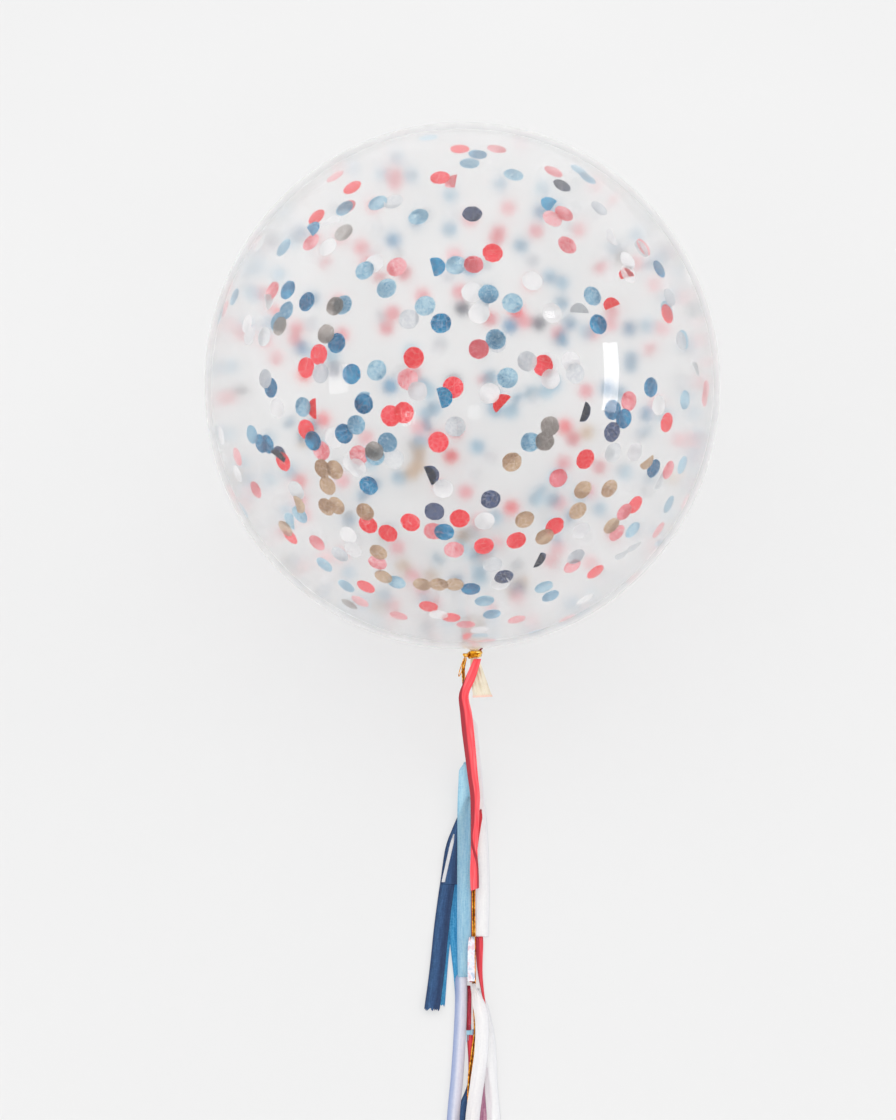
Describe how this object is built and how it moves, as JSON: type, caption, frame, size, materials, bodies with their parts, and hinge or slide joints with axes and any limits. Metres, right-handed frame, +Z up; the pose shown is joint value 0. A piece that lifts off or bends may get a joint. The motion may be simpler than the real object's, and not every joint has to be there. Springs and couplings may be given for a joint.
{
  "type": "confetti balloon",
  "caption": "Large round clear latex balloon with coloured paper confetti inside, gold-tied neck and a tail of ribbon and tissue strips on a gold foil cord, lying on its side.",
  "frame": {"origin": "middle of the flat spot that the balloon rests on, at floor level", "axes": "+Z up from the floor; the tail lies towards -Y; the end of the neck leans to +X"},
  "size_m": [0.914, 1.9287, 0.9161],
  "materials": {
    "clear_latex": "smooth clear latex, slightly milky",
    "gold_foil": "crumpled metallic foil",
    "red_ribbon": "satin",
    "crimson_tissue": "matt tissue",
    "mauve_tissue": "matt tissue",
    "sky_tissue": "matt tissue",
    "teal_tissue": "matt tissue",
    "navy_tissue": "smooth tissue",
    "white_tissue": "matt tissue",
    "lavender_tissue": "matt tissue",
    "silver_film": "pearly film"
  },
  "bodies": {
    "root": {"balloon": "clear_latex", "neck_tie": "gold_foil", "neck_knot": "gold_foil", "cord": "gold_foil", "end_knot": "gold_foil", "red_ribbon_top": "red_ribbon", "sky_strip_top": "sky_tissue", "white_strip_right": "white_tissue", "navy_strip_short": "navy_tissue", "navy_strip_long": "navy_tissue", "teal_strip_left": "teal_tissue", "teal_strip_right": "teal_tissue", "white_sliver": "white_tissue", "red_strip_thin": "crimson_tissue", "silver_strip": "silver_film", "red_strip_right": "red_ribbon", "crimson_strip": "crimson_tissue", "red_strip_low": "red_ribbon", "teal_strip_low": "teal_tissue", "sky_strip_short": "sky_tissue", "lavender_strip": "lavender_tissue", "white_strip_front": "white_tissue", "white_strip_side": "white_tissue", "mauve_strip": "mauve_tissue", "navy_strip_low": "navy_tissue", "sky_strip_end": "sky_tissue", "red_strip_end": "red_ribbon", "white_strip_end": "white_tissue"}
  },
  "joints": []
}
